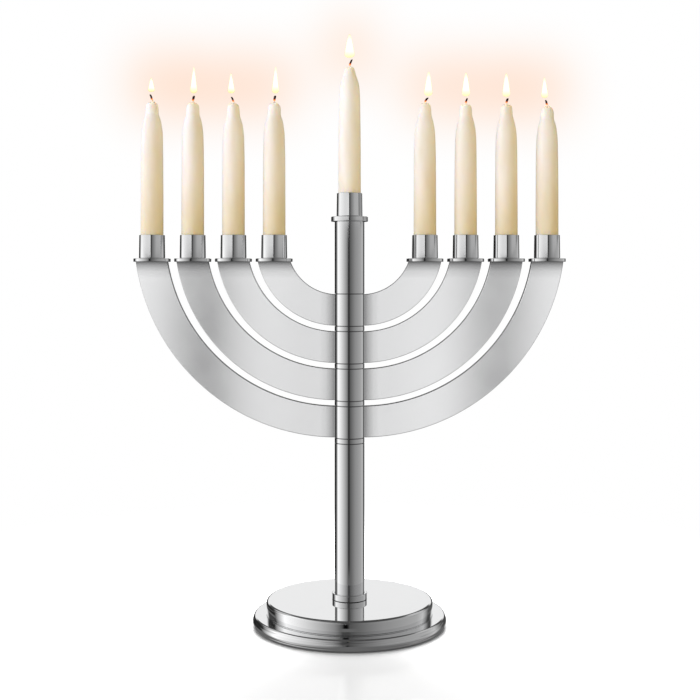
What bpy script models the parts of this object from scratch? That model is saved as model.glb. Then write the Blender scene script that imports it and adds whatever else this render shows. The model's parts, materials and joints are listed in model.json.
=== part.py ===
"""A nine-light branched candelabrum (a Hanukkah menorah) with its candles.

A stem of stacked turned pieces stands on a stepped round base. Four flat arms meet the
stem at four hubs, one above the other. Each arm has a left and a right branch that
curve up to the same height, and each branch ends in a drip disc and a candle cup. The
ninth cup, for the helper candle, tops the stem. A long bolt inside the stem clamps
the whole stack to a cast weight in the hollow base.

Units are metres. +Z is up, the branches lie along X, and the origin is the centre of the
base's underside. Every arm turns about the Z axis, and every candle lifts along Z.
"""

import math

import bmesh
import bpy

OBJECT_NAME = "menorah"

# Clearance left between neighbouring pieces.
GAP = 0.0003

# Facets in a full turn, by how large the turned piece is.
BASE_FACETS = 40
STEM_FACETS = 24
CANDLE_FACETS = 16
BOLT_FACETS = 12

# Base: a foot disc with a barrel-shaped side, and a smaller step disc on top of it.
FOOT_RADIUS = 0.0824
FOOT_BULGE = 0.0012
FOOT_BOTTOM = 0.0010
FOOT_TOP = 0.0103
FOOT_LIP = 0.0600
STEP_RADIUS = 0.0710
STEP_EDGE = 0.0025
STEP_BOTTOM = FOOT_TOP + GAP
STEP_TOP = 0.0220
PLATE = 0.0030
FOOT_WALL = 0.0040

# Felt pad under the base.
FELT_RADIUS = 0.0765
FELT_THICKNESS = 0.0016

# Tie bolt (M8, flanged hexagon head) and the clearance hole it passes through.
BOLT_RADIUS = 0.0040
BORE_RADIUS = BOLT_RADIUS + GAP
HEAD_ACROSS_FLATS = 0.0130
HEAD_HEIGHT = 0.0053
FLANGE_RADIUS = 0.0095
FLANGE_THICKNESS = 0.0015
HEAD_OVERLAP = 0.0005
HEAD_POCKET_RADIUS = 0.0120
BOLT_ENTRY = 0.0035

# Stem.
STEM_RADIUS = 0.0127
STEM_WALL = 0.0018
COLLAR_RADIUS = 0.0150
COLLAR_HEIGHT = 0.0051
COLLAR_CHAMFER = 0.0007
FIRST_SPACER_BOTTOM = 0.1555
HUB_PITCH = 0.0318
SPACER_SLOT = 0.0044
ARM_COUNT = 4

# Top of the stem.
CENTRE_DISC_BOTTOM = 0.3444
CENTRE_CUP_BOTTOM = 0.3488
CENTRE_CUP_HEIGHT = 0.0198
CENTRE_CUP_FLOOR = 0.0050

# Branches, drip discs and cups.
BRANCH_WIDTH = 0.0268
BRANCH_THICKNESS = 0.0060
BRANCH_START = 0.0107
BRANCH_ARC_STEPS = 14
DISC_RADIUS = 0.01575
DISC_BOTTOM = 0.3100
CUP_BOTTOM = 0.3131
CUP_HEIGHT = 0.0197
CUP_FLOOR = 0.0045
CUP_RADIUS = 0.0111
CUP_INNER_RADIUS = 0.0102
FIRST_CUP_REACH = 0.0645
CUP_PITCH = 0.03483

# Threaded spigot (M3) turned on a cup's underside, and the hole it takes in the branch.
SPIGOT_RADIUS = 0.0015
SPIGOT_HOLE_RADIUS = SPIGOT_RADIUS + GAP
SPIGOT_LENGTH = 0.0100
SPIGOT_HOLE_DEPTH = 0.0080

# Candles. The shape is given from the wax tip down: how far below it, and the radius there.
CANDLE_FOOT_RADIUS = 0.0098
CANDLE_SHAPE = (
    (0.0008, 0.0032),
    (0.0036, 0.0052),
    (0.0115, 0.0061),
    (0.0260, 0.0088),
    (0.0460, 0.0094),
)
WICK_RADIUS = 0.0007
WICK_BORE_RADIUS = WICK_RADIUS + GAP
WICK_FOOT = 0.0010
WICK_STRAIGHT = 0.0018
CENTRE_WAX_LENGTH = 0.1226

# Wax left on each candle of an arm, from the innermost arm outwards.
WAX_LENGTHS = {
    "left": (0.1286, 0.1279, 0.1286, 0.1293),
    "right": (0.1280, 0.1270, 0.1270, 0.1253),
}

# How far each burnt wick's tip leans along X, and how far it stands above the wax.
CENTRE_WICK_TIP = (0.0022, 0.0063)
WICK_TIPS = {
    "left": ((0.0006, 0.0058), (-0.0015, 0.0052), (0.0009, 0.0056), (-0.0013, 0.0060)),
    "right": ((0.0030, 0.0042), (0.0012, 0.0050), (0.0010, 0.0050), (-0.0009, 0.0052)),
}

SIDES = {"left": -1.0, "right": 1.0}


def remove_everything():
    """Start from an empty scene."""
    for thing in list(bpy.data.objects):
        bpy.data.objects.remove(thing, do_unlink=True)


def new_collection(name):
    """Make a collection under the scene's own."""
    collection = bpy.data.collections.new(name)
    bpy.context.scene.collection.children.link(collection)
    return collection


def principled(name, colour, metallic, roughness):
    """Make a plain Principled material."""
    material = bpy.data.materials.new(name)
    material.use_nodes = True
    shader = material.node_tree.nodes["Principled BSDF"]
    shader.inputs["Base Color"].default_value = (*colour, 1.0)
    shader.inputs["Metallic"].default_value = metallic
    shader.inputs["Roughness"].default_value = roughness
    return material


def polished_nickel(name):
    """Bright plating on everything that shows."""
    return principled(name, (0.86, 0.86, 0.87), 1.0, 0.05)


def plain_steel(name):
    """Zinc-bright steel of the tie bolt."""
    return principled(name, (0.62, 0.62, 0.63), 1.0, 0.35)


def cast_iron(name):
    """Rough grey casting of the hidden weight."""
    return principled(name, (0.12, 0.12, 0.13), 0.8, 0.70)


def black_felt(name):
    """Pad that protects the table."""
    return principled(name, (0.02, 0.02, 0.022), 0.0, 0.95)


def ivory_wax(name):
    """Cream coloured candle wax."""
    return principled(name, (0.86, 0.76, 0.58), 0.0, 0.45)


def burnt_cotton(name):
    """Charred wick."""
    return principled(name, (0.05, 0.03, 0.02), 0.0, 0.90)


def add_part(name, data, material, parent=None, location=(0.0, 0.0, 0.0)):
    """Put one sub-part in the object's collection."""
    part = bpy.data.objects.new(name, data)
    bpy.data.collections[OBJECT_NAME].objects.link(part)
    part.location = location
    part.parent = parent
    if not data.materials:
        data.materials.append(material)
    return part


def add_joint_empty(name):
    """An empty on the Z axis, about which one arm turns."""
    empty = bpy.data.objects.new(name, None)
    bpy.data.collections[OBJECT_NAME].objects.link(empty)
    empty.empty_display_size = 0.02
    return empty


def profile_mesh(name, profile, closed):
    """The outline of a turned piece: (radius, height) points, outer side top to bottom."""
    points = [(radius, 0.0, height) for radius, height in profile]
    edges = [(i, i + 1) for i in range(len(points) - 1)]
    if closed:
        edges.append((len(points) - 1, 0))
    mesh = bpy.data.meshes.new(name)
    mesh.from_pydata(points, edges, [])
    return mesh


def spin(part, facets):
    """Turn a part's profile about its own Z axis."""
    screw = part.modifiers.new("turn", "SCREW")
    screw.axis = "Z"
    screw.angle = 2.0 * math.pi
    screw.steps = facets
    screw.render_steps = facets
    screw.use_merge_vertices = True
    screw.merge_threshold = 0.00001
    screw.use_smooth_shade = True


def turned(name, profile, facets, material, closed=True, parent=None, location=(0.0, 0.0, 0.0)):
    """A turned piece. A closed profile makes a ring, an open one runs from axis to axis."""
    part = add_part(name, profile_mesh(name, profile, closed), material, parent, location)
    spin(part, facets)
    return part


def ring(inner, outer, height):
    """Profile of a plain ring that stands on z = 0."""
    return [(inner, height), (outer, height), (outer, 0.0), (inner, 0.0)]


def arc(centre_r, centre_z, radius, start, end, steps):
    """Points on an arc in the profile plane, with angles in degrees from +X."""
    points = []
    for i in range(steps + 1):
        angle = math.radians(start + (end - start) * i / steps)
        points.append((centre_r + radius * math.cos(angle), centre_z + radius * math.sin(angle)))
    return points


def guide_cylinder(name, radius, facets, bottom, top, x=0.0):
    """A guide cylinder or prism that cuts or joins another piece, kept out of the object."""
    mesh = bpy.data.meshes.new(name)
    shape = bmesh.new()
    bmesh.ops.create_cone(
        shape, cap_ends=True, segments=facets, radius1=radius, radius2=radius, depth=top - bottom
    )
    shape.to_mesh(mesh)
    shape.free()
    guide = bpy.data.objects.new(name, mesh)
    bpy.data.collections["cutters"].objects.link(guide)
    guide.location = (x, 0.0, 0.5 * (top + bottom))
    guide.hide_render = True
    guide.display_type = "WIRE"
    return guide


def combine(part, guide, operation):
    """Cut a part with a guide solid, or join the guide to it."""
    boolean = part.modifiers.new(operation.lower(), "BOOLEAN")
    boolean.operation = operation
    boolean.solver = "EXACT"
    boolean.object = guide


def evaluated_mesh(thing, name):
    """The mesh of an object with its modifiers applied."""
    graph = bpy.context.evaluated_depsgraph_get()
    mesh = bpy.data.meshes.new_from_object(thing.evaluated_get(graph), depsgraph=graph)
    mesh.name = name
    return mesh


def foot_disc():
    """Lower disc: a hollow turned shell with a barrel side and a wide opening on top."""
    half_height = 0.5 * (FOOT_TOP - FOOT_BOTTOM)
    barrel = (half_height**2 + FOOT_BULGE**2) / (2.0 * FOOT_BULGE)
    half_angle = math.degrees(math.asin(half_height / barrel))
    middle = 0.5 * (FOOT_TOP + FOOT_BOTTOM)
    inner = FOOT_RADIUS - FOOT_BULGE - FOOT_WALL
    profile = [(FOOT_LIP, FOOT_TOP)]
    profile += arc(FOOT_RADIUS - barrel, middle, barrel, half_angle, -half_angle, 4)
    profile += [(inner, FOOT_BOTTOM), (inner, FOOT_TOP - PLATE), (FOOT_LIP, FOOT_TOP - PLATE)]
    turned("foot_disc", profile, BASE_FACETS, polished_nickel("foot_disc"))


def step_disc():
    """Upper disc: a hollow turned shell with a rounded top edge."""
    inner = STEP_RADIUS - FOOT_WALL
    profile = [(BORE_RADIUS, STEP_TOP)]
    profile += arc(STEP_RADIUS - STEP_EDGE, STEP_TOP - STEP_EDGE, STEP_EDGE, 90.0, 0.0, 3)
    profile += [(STEP_RADIUS, STEP_BOTTOM), (inner, STEP_BOTTOM)]
    profile += [(inner, STEP_TOP - PLATE), (BORE_RADIUS, STEP_TOP - PLATE)]
    turned("step_disc", profile, BASE_FACETS, polished_nickel("step_disc"))


def ballast_weight():
    """Stepped casting that fills both shells, with a pocket for the bolt head underneath."""
    bottom = FELT_THICKNESS + GAP
    drum = FOOT_LIP - GAP
    flange = FOOT_RADIUS - FOOT_BULGE - FOOT_WALL - GAP
    top = STEP_TOP - PLATE - GAP
    flange_top = FOOT_TOP - PLATE - GAP
    profile = [(BORE_RADIUS, top), (drum, top), (drum, flange_top), (flange, flange_top)]
    pocket_top = bottom + HEAD_HEIGHT + FLANGE_THICKNESS + GAP
    profile += [(flange, bottom), (HEAD_POCKET_RADIUS, bottom)]
    profile += [(HEAD_POCKET_RADIUS, pocket_top), (BORE_RADIUS, pocket_top)]
    turned("ballast_weight", profile, BASE_FACETS, cast_iron("ballast_weight"))


def felt_pad():
    """Round pad that closes the base and meets the table."""
    profile = [(0.0, FELT_THICKNESS), (FELT_RADIUS, FELT_THICKNESS), (FELT_RADIUS, 0.0), (0.0, 0.0)]
    turned("felt_pad", profile, BASE_FACETS, black_felt("felt_pad"), closed=False)


def tie_bolt():
    """Bolt from the base to the floor of the centre cup, with a flanged hexagon head."""
    bottom = FELT_THICKNESS + GAP
    length = CENTRE_CUP_BOTTOM + BOLT_ENTRY - bottom
    flange_top = HEAD_HEIGHT + FLANGE_THICKNESS
    profile = [(0.0, length), (BOLT_RADIUS, length), (BOLT_RADIUS, flange_top)]
    profile += [(FLANGE_RADIUS, flange_top), (FLANGE_RADIUS, HEAD_HEIGHT), (0.0, HEAD_HEIGHT)]
    bolt = turned("tie_bolt", profile, BOLT_FACETS, plain_steel("tie_bolt"), closed=False)
    bolt.location.z = bottom
    corner = 0.5 * HEAD_ACROSS_FLATS / math.cos(math.radians(30.0))
    head_top = bottom + HEAD_HEIGHT + HEAD_OVERLAP
    combine(bolt, guide_cylinder("bolt_head", corner, 6, bottom, head_top), "UNION")


def column_collar():
    """Ring round the foot of the stem."""
    inner = STEM_RADIUS + GAP
    profile = [(inner, COLLAR_HEIGHT), (COLLAR_RADIUS - COLLAR_CHAMFER, COLLAR_HEIGHT)]
    profile += [(COLLAR_RADIUS, COLLAR_HEIGHT - COLLAR_CHAMFER), (COLLAR_RADIUS, 0.0), (inner, 0.0)]
    collar = turned("column_collar", profile, STEM_FACETS, polished_nickel("column_collar"))
    collar.location.z = STEP_TOP + GAP


def stem_tube(name, bottom, top):
    """One length of the stem's tube."""
    profile = ring(STEM_RADIUS - STEM_WALL, STEM_RADIUS, top - bottom)
    tube = turned(name, profile, STEM_FACETS, polished_nickel(name))
    tube.location.z = bottom


def spacer_bottom(arm):
    """Underside of the spacer ring below an arm's hub; arm 4 is the lowest and widest."""
    return FIRST_SPACER_BOTTOM + (ARM_COUNT - arm) * HUB_PITCH


def hub_bottom(arm):
    """Underside of an arm's hub."""
    return spacer_bottom(arm) + SPACER_SLOT


def hub_height():
    """Height of one hub, with its clearance to the ring above it."""
    return HUB_PITCH - SPACER_SLOT - GAP


def cup_reach(arm):
    """How far an arm's cups stand from the stem's axis."""
    return FIRST_CUP_REACH + (arm - 1) * CUP_PITCH


def spacer_ring(arm):
    """Ring below one hub, which parts it from what is below so that its arm can turn."""
    profile = ring(BORE_RADIUS, STEM_RADIUS, SPACER_SLOT - GAP)
    name = "spacer_ring_%d" % arm
    spacer = turned(name, profile, STEM_FACETS, polished_nickel(name))
    spacer.location.z = spacer_bottom(arm)


def centre_disc():
    """Wide disc between the stem and the centre cup."""
    profile = ring(BORE_RADIUS, DISC_RADIUS, CENTRE_CUP_BOTTOM - CENTRE_DISC_BOTTOM - GAP)
    disc = turned("centre_disc", profile, STEM_FACETS, polished_nickel("centre_disc"))
    disc.location.z = CENTRE_DISC_BOTTOM


def centre_cup():
    """Cup for the helper candle, with a blind hole in its floor for the tie bolt."""
    hole_top = BOLT_ENTRY + GAP
    profile = [(0.0, CENTRE_CUP_FLOOR), (CUP_INNER_RADIUS, CENTRE_CUP_FLOOR)]
    profile += [(CUP_INNER_RADIUS, CENTRE_CUP_HEIGHT), (CUP_RADIUS, CENTRE_CUP_HEIGHT)]
    profile += [(CUP_RADIUS, 0.0), (BORE_RADIUS, 0.0), (BORE_RADIUS, hole_top), (0.0, hole_top)]
    cup = turned("centre_cup", profile, STEM_FACETS, polished_nickel("centre_cup"), closed=False)
    cup.location.z = CENTRE_CUP_BOTTOM


def branch_outline(arm):
    """Outline of a right-hand branch, in X and Z: two arcs joined by straight ends.

    Both arcs share one centre, right above the point where the branch leaves the stem
    level, and the branch is cut off level just below its drip disc.
    """
    rise = DISC_BOTTOM - hub_bottom(arm) - 0.5 * hub_height()
    run = cup_reach(arm) - BRANCH_START
    mean_radius = (run**2 + rise**2) / (2.0 * rise)
    centre_z = DISC_BOTTOM - rise + mean_radius
    top = DISC_BOTTOM - GAP
    outline = []
    for side, order in ((0.5, 1), (-0.5, -1)):
        radius = mean_radius + side * BRANCH_WIDTH
        end = math.degrees(math.asin((top - centre_z) / radius))
        points = arc(BRANCH_START, centre_z, radius, -90.0, end, BRANCH_ARC_STEPS)
        outline += points[::order]
    return outline


def branch_blank(arm):
    """The uncut branch: its outline as a flat curve with thickness, made a closed mesh."""
    curve = bpy.data.curves.new("branch_outline", "CURVE")
    curve.dimensions = "2D"
    curve.fill_mode = "BOTH"
    curve.extrude = 0.5 * BRANCH_THICKNESS
    outline = branch_outline(arm)
    spline = curve.splines.new("POLY")
    spline.points.add(len(outline) - 1)
    for point, (x, z) in zip(spline.points, outline):
        point.co = (x, z, 0.0, 1.0)
    spline.use_cyclic_u = True
    flat = bpy.data.objects.new("branch_outline", curve)
    bpy.data.collections["cutters"].objects.link(flat)
    flat.rotation_euler.x = math.radians(90.0)
    bpy.context.view_layer.update()
    mesh = evaluated_mesh(flat, "branch_blank")
    mesh.transform(flat.matrix_world)
    bpy.data.objects.remove(flat, do_unlink=True)
    shape = bmesh.new()
    shape.from_mesh(mesh)
    bmesh.ops.remove_doubles(shape, verts=shape.verts, dist=0.000001)
    bmesh.ops.recalc_face_normals(shape, faces=shape.faces)
    shape.to_mesh(mesh)
    shape.free()
    return mesh


def branch_mesh(arm, hub_cutter):
    """A branch coped to fit round its hub, with a blind hole in its upper end."""
    blank = bpy.data.objects.new("branch_blank", branch_blank(arm))
    bpy.data.collections["cutters"].objects.link(blank)
    top = DISC_BOTTOM
    depth = top - SPIGOT_HOLE_DEPTH
    reach = cup_reach(arm)
    drill = guide_cylinder("drill", SPIGOT_HOLE_RADIUS, BOLT_FACETS, depth, top, reach)
    combine(blank, hub_cutter, "DIFFERENCE")
    combine(blank, drill, "DIFFERENCE")
    bpy.context.view_layer.update()
    mesh = evaluated_mesh(blank, "arm_%d_branch" % arm)
    bpy.data.objects.remove(blank, do_unlink=True)
    return mesh


def candle_cup(name, x, parent):
    """Cup turned in one with the spigot that passes through its disc into the branch."""
    profile = [(0.0, CUP_FLOOR), (CUP_INNER_RADIUS, CUP_FLOOR)]
    profile += [(CUP_INNER_RADIUS, CUP_HEIGHT), (CUP_RADIUS, CUP_HEIGHT), (CUP_RADIUS, 0.0)]
    profile += [(SPIGOT_RADIUS, 0.0), (SPIGOT_RADIUS, -SPIGOT_LENGTH), (0.0, -SPIGOT_LENGTH)]
    nickel = polished_nickel(name)
    place = (x, 0.0, CUP_BOTTOM)
    turned(name, profile, STEM_FACETS, nickel, closed=False, parent=parent, location=place)


def drip_disc(name, x, parent):
    """Disc between a branch's end and its cup."""
    profile = ring(SPIGOT_HOLE_RADIUS, DISC_RADIUS, CUP_BOTTOM - DISC_BOTTOM - GAP)
    place = (x, 0.0, DISC_BOTTOM)
    turned(name, profile, STEM_FACETS, polished_nickel(name), parent=parent, location=place)


def candle(name, x, seat, wax_length, parent):
    """A candle with a bore for its wick. Its origin is on the axis it lifts along."""
    profile = [(WICK_BORE_RADIUS, wax_length)]
    profile += [(radius, wax_length - depth) for depth, radius in CANDLE_SHAPE]
    profile += [(CANDLE_FOOT_RADIUS, 0.0), (WICK_BORE_RADIUS, 0.0)]
    wax = ivory_wax(name)
    return turned(name, profile, CANDLE_FACETS, wax, parent=parent, location=(x, 0.0, seat))


def wick(name, wax_length, tip, holder):
    """A wick that runs up through the wax and leans over above it."""
    lean, stand = tip
    curve = bpy.data.curves.new(name, "CURVE")
    curve.dimensions = "3D"
    curve.bevel_depth = WICK_RADIUS
    curve.bevel_resolution = 1
    curve.use_fill_caps = True
    points = [
        (0.0, WICK_FOOT),
        (0.0, wax_length + WICK_STRAIGHT),
        (0.35 * lean, wax_length + 0.5 * (WICK_STRAIGHT + stand)),
        (lean, wax_length + stand),
    ]
    spline = curve.splines.new("POLY")
    spline.points.add(len(points) - 1)
    for point, (x, z) in zip(spline.points, points):
        point.co = (x, 0.0, z, 1.0)
    add_part(name, curve, burnt_cotton(name), holder)


def base():
    """Everything from the felt pad up to the foot of the stem."""
    felt_pad()
    foot_disc()
    step_disc()
    ballast_weight()
    column_collar()


def stem():
    """The stacked stem, its tie bolt and the centre cup."""
    tie_bolt()
    stem_tube("lower_column", STEP_TOP + GAP, FIRST_SPACER_BOTTOM - GAP)
    for arm in range(1, ARM_COUNT + 1):
        spacer_ring(arm)
    top_of_hubs = FIRST_SPACER_BOTTOM + ARM_COUNT * HUB_PITCH
    stem_tube("upper_column", top_of_hubs, CENTRE_DISC_BOTTOM - GAP)
    centre_disc()
    centre_cup()


def centre_candle():
    """The helper candle in the centre cup."""
    seat = CENTRE_CUP_BOTTOM + CENTRE_CUP_FLOOR + GAP
    holder = candle("centre_candle", 0.0, seat, CENTRE_WAX_LENGTH, None)
    wick("centre_wick", CENTRE_WAX_LENGTH, CENTRE_WICK_TIP, holder)


def arm_side(arm, side, mesh, parent):
    """One branch with its disc, cup, candle and wick."""
    sign = SIDES[side]
    reach = cup_reach(arm)
    name = "arm_%d_branch_%s" % (arm, side)
    branch = add_part(name, mesh, polished_nickel("arm_%d_branch" % arm), parent)
    if sign < 0.0:
        branch.rotation_euler.z = math.pi
    drip_disc("arm_%d_disc_%s" % (arm, side), sign * reach, parent)
    candle_cup("arm_%d_cup_%s" % (arm, side), sign * reach, parent)
    seat = CUP_BOTTOM + CUP_FLOOR + GAP
    wax_length = WAX_LENGTHS[side][arm - 1]
    holder = candle("candle_%d_%s" % (arm, side), sign * reach, seat, wax_length, parent)
    wick("wick_%d_%s" % (arm, side), wax_length, WICK_TIPS[side][arm - 1], holder)


def arm_assembly(arm, hub_cutter):
    """One arm: its hub and, on each side, a branch, disc, cup and candle."""
    joint = add_joint_empty("arm_%d" % arm)
    profile = ring(BORE_RADIUS, STEM_RADIUS, hub_height())
    hub_name = "arm_%d_hub" % arm
    place = (0.0, 0.0, hub_bottom(arm))
    nickel = polished_nickel(hub_name)
    turned(hub_name, profile, STEM_FACETS, nickel, parent=joint, location=place)
    mesh = branch_mesh(arm, hub_cutter)
    for side in SIDES:
        arm_side(arm, side, mesh, joint)


def main():
    """Build the whole object."""
    remove_everything()
    new_collection(OBJECT_NAME)
    new_collection("cutters")
    base()
    stem()
    centre_candle()
    top = CENTRE_DISC_BOTTOM
    hub_cutter = guide_cylinder("hub_cope", STEM_RADIUS + GAP, STEM_FACETS, 0.1, top)
    for arm in range(1, ARM_COUNT + 1):
        arm_assembly(arm, hub_cutter)


main()
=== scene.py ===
"""The looks of a nine-light nickel menorah with burning candles, built round its CAD frame.

Every visible turned piece, branch, candle and wick is modelled again here at a fine
resolution, on the boxes of the CAD nodes, and rides on the same body. Lengths are in
metres, +Z is up, the branches lie along X and the camera looks along +Y.
"""

import json
import math

import bpy
import numpy as np
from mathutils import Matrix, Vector, noise

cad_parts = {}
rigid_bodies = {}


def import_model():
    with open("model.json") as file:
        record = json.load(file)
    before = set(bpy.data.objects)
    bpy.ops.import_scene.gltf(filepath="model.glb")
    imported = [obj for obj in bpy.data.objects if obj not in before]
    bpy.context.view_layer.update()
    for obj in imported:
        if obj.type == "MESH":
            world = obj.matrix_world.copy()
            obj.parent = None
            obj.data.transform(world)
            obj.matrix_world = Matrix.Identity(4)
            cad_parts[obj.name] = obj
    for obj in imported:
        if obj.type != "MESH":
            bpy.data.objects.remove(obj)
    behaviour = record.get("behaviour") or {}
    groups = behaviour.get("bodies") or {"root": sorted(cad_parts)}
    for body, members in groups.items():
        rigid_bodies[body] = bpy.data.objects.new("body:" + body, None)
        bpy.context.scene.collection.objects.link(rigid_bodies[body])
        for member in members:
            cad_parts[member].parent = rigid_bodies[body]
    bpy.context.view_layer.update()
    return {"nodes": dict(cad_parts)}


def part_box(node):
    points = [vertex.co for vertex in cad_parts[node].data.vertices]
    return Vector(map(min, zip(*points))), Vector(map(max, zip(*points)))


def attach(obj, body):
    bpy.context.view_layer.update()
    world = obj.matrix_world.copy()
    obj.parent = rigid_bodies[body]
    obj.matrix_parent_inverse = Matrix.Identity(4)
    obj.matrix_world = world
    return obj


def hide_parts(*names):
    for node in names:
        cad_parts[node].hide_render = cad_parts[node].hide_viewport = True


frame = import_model()

SIDES = ("left", "right")
ARMS = (1, 2, 3, 4)

# Segments round a turned piece, and steps in a rounded corner.
STEM_SEGMENTS = 144
CUP_SEGMENTS = 96
BASE_SEGMENTS = 256
CORNER_STEPS = 6

# Corners that turn less than this are shaded smooth, and unrounded ones get this edge.
SOFT_TURN = 0.30
CRISP_EDGE = 0.00003

# Turned metal: corner radii, bores and walls.
STEM_EDGE = 0.00035
DISC_EDGE = 0.0004
LIP_EDGE = 0.0002
COLLAR_EDGE = 0.0007
TUBE_WALL = 0.0018
BOLT_BORE = 0.0043
# Painted shade along the stem's seams: how far it reaches, and its darkest tone.
SEAM_REACH = 0.0006
SEAM_TONE = 0.42
NECK_DEPTH = 0.0005
NECK_HEIGHT = 0.0003
NECK_WALL = 0.0030
CUP_WALL = 0.0009
CUP_TAPER = 0.0003
ARM_CUP_FLOOR = 0.0045
CENTRE_CUP_FLOOR = 0.0050

# Base.
FOOT_BULGE = 0.0012
BARREL_STEPS = 18
FOOT_EDGE = 0.0019
FOOT_LOW_EDGE = 0.0011
FOOT_OPENING = 0.0600
FOOT_WALL = 0.0040
FOOT_PLATE = 0.0030
STEP_EDGE = 0.0025
STEP_BULGE = 0.0002
STEP_FOOT_EDGE = 0.0008

# Branches.
BRANCH_ARC_CENTRE = 0.0107
BRANCH_WIDTH = 0.0268
BRANCH_INSET = 0.0011
BRANCH_EDGE = 0.00055
BRANCH_ARC_STEPS = 120
BRANCH_CORNER_STEPS = 3
BRANCH_TOP_SINK = 0.00002

# Candles: rings along the wax and segments round it.
WAX_SEGMENTS = 72
WAX_RINGS = 230
WAX_FOOT_EDGE = 0.0006

# Radius of the wax by depth below the tip, for the three burnt shapes.
WAX_SHAPES = {
    "nipple": (
        (0.0000, 0.0009),
        (0.0004, 0.0023),
        (0.0011, 0.0036),
        (0.0022, 0.0046),
        (0.0038, 0.0052),
        (0.0062, 0.0056),
        (0.0100, 0.0057),
        (0.0116, 0.0059),
        (0.0134, 0.0065),
        (0.0156, 0.0072),
        (0.0191, 0.0080),
        (0.0227, 0.0085),
        (0.0262, 0.0089),
        (0.0333, 0.0092),
        (0.0540, 0.0095),
    ),
    "ogive": (
        (0.0000, 0.0010),
        (0.0004, 0.0026),
        (0.0011, 0.0039),
        (0.0024, 0.0047),
        (0.0057, 0.0052),
        (0.0095, 0.0054),
        (0.0124, 0.0061),
        (0.0172, 0.0074),
        (0.0220, 0.0083),
        (0.0286, 0.0089),
        (0.0380, 0.0092),
        (0.0540, 0.0094),
    ),
    "blunt": (
        (0.0000, 0.0014),
        (0.0004, 0.0029),
        (0.0012, 0.0038),
        (0.0033, 0.0045),
        (0.0072, 0.0056),
        (0.0110, 0.0069),
        (0.0157, 0.0081),
        (0.0205, 0.0086),
        (0.0300, 0.0090),
        (0.0540, 0.0094),
    ),
}

# Each candle: wax shape, then its flame's offset along X, lift above the wick's top,
# height, width, notch, and how full its sides are (less is fuller).
CANDLES = {
    "candle_4_left": ("nipple", -0.0006, 0.0022, 0.0114, 0.0050, 0.0004, 0.62),
    "candle_3_left": ("nipple", 0.0008, 0.0020, 0.0224, 0.0054, 0.0006, 0.80),
    "candle_2_left": ("nipple", -0.0019, 0.0030, 0.0168, 0.0054, 0.0006, 0.80),
    "candle_1_left": ("nipple", 0.0011, 0.0018, 0.0224, 0.0054, 0.0010, 0.74),
    "centre_candle": ("blunt", 0.0000, 0.0014, 0.0196, 0.0080, 0.0046, 0.62),
    "candle_1_right": ("ogive", 0.0029, 0.0014, 0.0200, 0.0064, 0.0040, 0.60),
    "candle_2_right": ("ogive", 0.0003, 0.0016, 0.0196, 0.0063, 0.0040, 0.60),
    "candle_3_right": ("ogive", 0.0000, 0.0012, 0.0196, 0.0060, 0.0034, 0.60),
    "candle_4_right": ("nipple", -0.0020, 0.0018, 0.0172, 0.0052, 0.0016, 0.70),
}

# Wicks: how they bend, and how they char.
WICK_SEGMENTS = 20
WICK_RINGS = 48
WICK_ROOT = 0.0030
WICK_KNOT_SIZE = 0.00012
WICK_GAIN = 1.5

# Flames.
FLAME_SEGMENTS = 48
FLAME_RINGS = 44
FLAME_FOOT = 0.16
FLAME_WIDTH_GAIN = 1.10
FLAME_FLATNESS = 0.8
FLAME_SKIN = 0.0004
FLAME_POWER = 0.004

# Camera.
CAMERA_DISTANCE = 1.035
CAMERA_HEIGHT = 0.295
CAMERA_LENS = 62.2
CAMERA_SHIFT = (0.00064, -0.101)

# Studio.
FLOOR_RADIUS = 0.60
FLOOR_SOLID_TO = 0.22
METAL_TONE = 0.86

# White cards that only the branches mirror: middle, width and brightness of each.
CARDS = (
    (0.0, 0.19, 0.76),
    (-0.155, 0.11, 0.98),
    (0.155, 0.11, 0.98),
    (-0.53, 0.48, 0.88),
    (0.53, 0.48, 0.88),
)
CARD_HEIGHT = 0.9
CARD_MIDDLE = 0.17
REAR_CARD_WIDTH = 3.4
REAR_CARD_MIDDLE = -0.46
REAR_CARD_BRIGHTNESS = 0.62

# Brightness of the surroundings by bearing in degrees, where 0 looks from the menorah
# to the camera and positive is to the camera's right. 255 is white. The stem mirrors
# the lower band, and the cups mirror the upper one.
LOWER_BAND = (
    (-180, 28),
    (-124, 36),
    (-109, 205),
    (-99, 258),
    (-62, 214),
    (-20, 134),
    (-9, 70),
    (-7.5, 6),
    (-2, 6),
    (-0.5, 76),
    (45, 137),
    (104, 166),
    (119, 190),
    (137, 76),
    (180, 28),
)
UPPER_BAND = (
    (-180, 40),
    (-130, 50),
    (-113, 190),
    (-103, 247),
    (-41, 216),
    (-4, 214),
    (-3, 4),
    (3.5, 4),
    (5, 92),
    (49, 168),
    (86, 172),
    (92, 106),
    (98, 106),
    (106, 152),
    (180, 60),
)

# Heights, as the sine of the elevation, between which one zone turns into the next.
UPPER_BAND_FROM = (0.0475, 0.0490)
UPPER_BAND_TO = (0.104, 0.116)
CEILING_FROM = (0.66, 0.76)
OVERHEAD_FROM = (0.20, 0.30)
BACK_WALL_FROM = (0.125, 0.165)
BACK_WALL_TO = (0.30, 0.36)
BACK_DARK_FRONT = (0.62, 0.74)
SIDE_SKY_FROM = (0.34, 0.40)
SIDE_SKY_FRONT = (0.10, 0.35)
SIDE_SKY_LIGHT = 0.55
BACK_DARK_SHARE = 0.12
FRONT_FILL = 0.14
OVERHEAD_FILL = 0.07
FRONT_FILL_BELOW = (-0.228, -0.245)
GROUND_FROM = (-0.34, -0.50)
DEEP_FROM = (-0.72, -0.88)
BACK_WALL_LIGHT = 0.93
CEILING_SHARE = 0.16
GROUND_SHARE = 0.55
DEEP_SHARE = 0.04
BACK_WALL_FRONT = (0.80, 0.92)
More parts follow.
